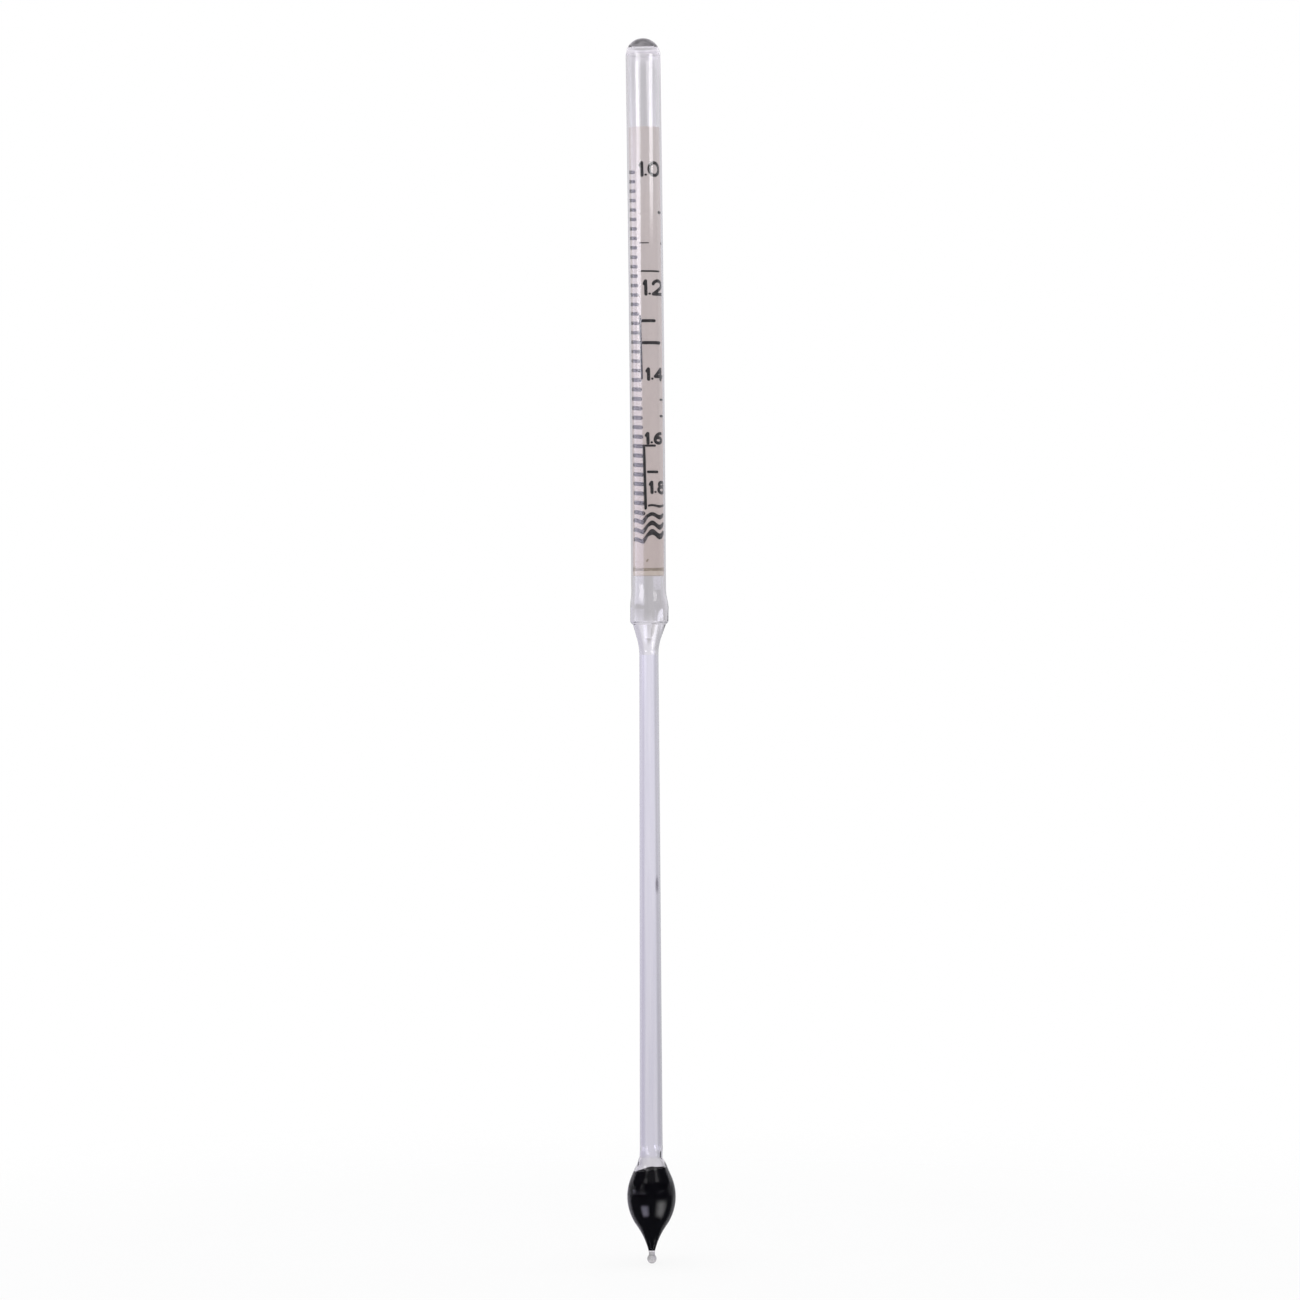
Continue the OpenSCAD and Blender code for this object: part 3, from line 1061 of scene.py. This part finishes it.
def numerals():
    """Plain bold numbers above every fourth gravity line."""
    marks = Print()
    for gravity, height, shift in NUMBERS:
        low = gravity_height(gravity) + 0.5
        dot = POINT_X + shift
        marks.stroke([(dot - 0.03, low + 0.3), (dot + 0.03, low + 0.3)], POINT_STROKE)
        whole, tenth = f"{gravity:.1f}".split(".")
        for numeral, start, wide in ((whole, WHOLE_X, 1.0), (tenth, TENTH_X, 0.95 * height)):
            start += shift
            for stroke in NUMERALS[numeral]:
                path = [(start + wide * u, low + height * v) for u, v in stroke]
                marks.stroke(path, NUMERAL_STROKE)
    marks.piece("scale_numerals", INK)


BORDER_Z = PAPER_LOW.z + 1.6
BORDER_STROKE = 0.95
BORDER_SAG = 0.28
DOT_Z = PAPER_LOW.z + 3.7
DOT_STROKE = 0.62


def lower_border():
    """The ochre line round the sheet's lower end and the register dot above it."""
    border = Print()
    path = []
    for angle in range(165, 496, 6):
        sag = BORDER_SAG * math.cos(math.radians(angle - 5))
        path.append((angle, BORDER_Z - sag))
    border.ring(path, BORDER_STROKE)
    border.piece("border_line", OCHRE)
    dot = Print()
    dot.stroke([(0.05, DOT_Z - 0.03), (0.05, DOT_Z + 0.03)], DOT_STROKE)
    dot.piece("register_dot", OCHRE)


def build_glue():
    """The band of glue that holds the sheet, just clear of the uneven bore."""
    low, high = GLUE_LOW.z, GLUE_HIGH.z
    outer, inner = BORE_R - 0.03, PAPER_R + 0.005
    corner_places = (outer, high), (outer, low), (inner, low), (inner, high)
    points, faces, _ = lathe([Vector(p) for p in corner_places], (), still)
    make_piece("glue_band", points, faces, [GLUE], ["scale_adhesive"])


# ---------------------------------------------------------------- surroundings


def floor_look():
    """A pale floor that fades out towards its rim and can't be seen from below."""
    material, tree = new_material("pale_floor")
    place = add(tree, "ShaderNodeTexCoord")
    away = add(tree, "ShaderNodeVectorMath", operation="LENGTH")
    tree.links.new(place.outputs["Object"], away.inputs[0])
    fade = ramp(tree, away.outputs["Value"], 0.12, 0.34)
    grain = stretched_noise(tree, 30.0, 1.0)
    tone = blend_colour(tree, grain, (0.90, 0.90, 0.905, 1), (0.93, 0.93, 0.935, 1))
    matt = add(tree, "ShaderNodeBsdfDiffuse", in_Color=tone)
    glow = add(tree, "ShaderNodeEmission", in_Color=(1, 1, 1, 1), in_Strength=1.0)
    lit = add(tree, "ShaderNodeMixShader", in_Fac=0.75)
    tree.links.new(matt.outputs[0], lit.inputs[1])
    tree.links.new(glow.outputs[0], lit.inputs[2])
    clear = add(tree, "ShaderNodeBsdfTransparent")
    bent = sees_studio(tree)
    below = add(tree, "ShaderNodeNewGeometry").outputs["Backfacing"]
    hidden = maths(tree, "MAXIMUM", maths(tree, "MAXIMUM", fade, bent), below)
    out = add(tree, "ShaderNodeMixShader", in_Fac=hidden)
    tree.links.new(lit.outputs[0], out.inputs[1])
    tree.links.new(clear.outputs[0], out.inputs[2])
    add(tree, "ShaderNodeOutputMaterial", in_Surface=out.outputs[0])
    return material


def build_floor():
    """A round sheet under the hydrometer, which is stage and no part of it."""
    radius = 0.35
    count = 96
    turns = [2 * math.pi * i / count for i in range(count)]
    rim = [Vector((radius * math.cos(t), radius * math.sin(t), 0)) for t in turns]
    mesh = bpy.data.meshes.new("floor")
    mesh.from_pydata(rim, [], [tuple(range(count))])
    mesh.materials.append(floor_look())
    floor = bpy.data.objects.new("floor", mesh)
    bpy.context.scene.collection.objects.link(floor)


WHITE_LIGHT = (1.0, 0.985, 1.0)
LILAC_LIGHT = (1.0, 0.965, 1.22)

# Soft boxes seen in reflections: left, right, low and high edge and the softness of its sides and
# of its ends (degrees; 0 is straight in front), lean (degrees to the right per degree up),
# brightness and colour.
SOFT_BOXES = (
    (-51, -21, 3.4, 8.8, 2.5, 0.9, 5.0, 2.9, WHITE_LIGHT),
    (37, 62, 5.9, 8.8, 3.0, 0.6, 5.0, 4.5, WHITE_LIGHT),
    (-104, -34, 0.2, 6.9, 8.0, 1.1, 0.0, 2.0, LILAC_LIGHT),
    (-58, -40, 8.8, 24, 4.0, 2.0, 0.0, 3.0, WHITE_LIGHT),
    (-42, 60, 30, 64, 12.0, 5.6, 0.0, 0.12, WHITE_LIGHT),
    (-44, -26, 26, 38, 8.0, 4.0, 0.0, 0.7, WHITE_LIGHT),
    (26, 44, 30, 42, 8.0, 4.0, 0.0, 0.7, WHITE_LIGHT),
    (-54, -20, -46, -23, 13.0, 5.0, 0.0, 2.6, LILAC_LIGHT),
    (30, 72, -45, -13, 18.0, 8.0, 0.0, 2.5, WHITE_LIGHT),
)
LEAN_FROM = 7.3  # elevation at which a leaning box has its stated edges
EYE_BAND = 5.0  # middle and half height of the elevations that upright glass shows


def studio_walls(tree, x, y, elevation):
    """The studio that glass shows: grey, paler and lilac below eye level. Reflections see a dark
    front, while glass that's looked through stays clear from any side."""
    off_centre = maths(tree, "ABSOLUTE", x)
    raised = ramp(tree, elevation, 1.0, 6.5)
    upper = blend_colour(tree, raised, (0.53, 0.515, 0.535, 1), (0.595, 0.58, 0.61, 1))
    sides = blend_colour(tree, raised, (0.60, 0.59, 0.62, 1), (0.69, 0.68, 0.715, 1))
    upper = blend_colour(tree, ramp(tree, off_centre, 0.05, 0.25), upper, sides)
    upper = blend_colour(tree, ramp(tree, elevation, 7.6, 7.9), upper, (0.77, 0.745, 0.80, 1))
    raised = ramp(tree, elevation, -7, -0.5)
    lower = blend_colour(tree, raised, (0.705, 0.69, 0.735, 1), (0.84, 0.825, 0.885, 1))
    left = blend_colour(tree, raised, (0.62, 0.60, 0.68, 1), (0.66, 0.64, 0.725, 1))
    right = blend_colour(tree, raised, (0.505, 0.50, 0.53, 1), (0.585, 0.58, 0.61, 1))
    lower = blend_colour(tree, ramp(tree, x, -0.06, -0.14), lower, left)
    lower = blend_colour(tree, ramp(tree, x, 0.06, 0.16), lower, right)
    back = blend_colour(tree, ramp(tree, elevation, 0.18, 0.5), lower, upper)
    steep = maths(tree, "ABSOLUTE", maths(tree, "SUBTRACT", elevation, EYE_BAND))
    shift = ramp(tree, steep, EYE_BAND, EYE_BAND + 6, 0.0, 0.5)
    depth = maths(tree, "SUBTRACT", y, shift)
    looked_through = add(tree, "ShaderNodeLightPath").outputs["Is Transmission Ray"]
    front = maths(tree, "MULTIPLY", looked_through, 0.7)
    lit = maths(tree, "MAXIMUM", ramp(tree, depth, -0.25, 0.15), front)
    return blend_colour(tree, lit, (0.03, 0.03, 0.035, 1), back)


def build_world():
    """The camera sees white, matt surfaces see soft white light, and glass sees the studio."""
    world = bpy.data.worlds.new("studio")
    bpy.context.scene.world = world
    world.use_nodes = True
    tree = world.node_tree
    tree.nodes.clear()
    place = add(tree, "ShaderNodeTexCoord")
    split = add(tree, "ShaderNodeSeparateXYZ", in_Vector=place.outputs["Generated"])
    x, y, z = split.outputs[0], split.outputs[1], split.outputs[2]
    elevation = maths(tree, "MULTIPLY", maths(tree, "ARCSINE", z), 180 / math.pi)
    azimuth = maths(tree, "ARCTAN2", x, maths(tree, "MULTIPLY", y, -1.0))
    azimuth = maths(tree, "MULTIPLY", azimuth, 180 / math.pi)
    raised = maths(tree, "SUBTRACT", elevation, LEAN_FROM)
    glow = studio_walls(tree, x, y, elevation)
    for left, right, low, high, soft_sides, soft_ends, lean, strength, colour in SOFT_BOXES:
        upright = maths(tree, "SUBTRACT", azimuth, maths(tree, "MULTIPLY", raised, lean))
        across = band(tree, upright, left, right, soft_sides)
        inside = maths(tree, "MULTIPLY", across, band(tree, elevation, low, high, soft_ends))
        box = add(tree, "ShaderNodeVectorMath", operation="SCALE", in_Vector=colour)
        tree.links.new(maths(tree, "MULTIPLY", inside, strength), box.inputs["Scale"])
        both = add(tree, "ShaderNodeVectorMath", operation="ADD")
        tree.links.new(glow, both.inputs[0])
        tree.links.new(box.outputs[0], both.inputs[1])
        glow = both.outputs[0]
    studio = add(tree, "ShaderNodeBackground", in_Color=glow, in_Strength=1.0)
    light = add(tree, "ShaderNodeBackground", in_Color=(1, 1, 1, 1), in_Strength=1.0)
    bent = sees_studio(tree)
    out = add(tree, "ShaderNodeMixShader", in_Fac=bent)
    tree.links.new(light.outputs[0], out.inputs[1])
    tree.links.new(studio.outputs[0], out.inputs[2])
    add(tree, "ShaderNodeOutputWorld", in_Surface=out.outputs[0])


def build_camera():
    """Square-on view at mid-height. The roll leans the top a little to the left."""
    camera = bpy.data.cameras.new("camera")
    camera.lens = 120
    camera.sensor_width = 36
    fill = 0.9423  # share of the frame's height that the object takes
    right, up = 0.00064, 0.0002  # how far the frame's middle is off the object's
    roll = -0.43  # degrees
    height = TOP_Z * MM
    distance = height / fill / (camera.sensor_width / camera.lens)
    camera.clip_start = 0.01
    camera.clip_end = 100
    seat = bpy.data.objects.new("camera", camera)
    seat.matrix_world = (
        Matrix.Translation((right, -distance, height / 2 + up))
        @ Matrix.Rotation(math.radians(90), 4, "X")
        @ Matrix.Rotation(math.radians(roll), 4, "Z")
    )
    bpy.context.scene.collection.objects.link(seat)
    bpy.context.scene.camera = seat


build_dome()
build_scale_tube()
build_shoulder()
build_neck()
build_bulb()
build_bead()
build_pitch()
build_shot()
build_paper()
build_glue()
even_marks()
gravity_lines()
numerals()
lower_border()
build_floor()
build_world()
build_camera()

bpy.context.scene.view_settings.view_transform = "Standard"
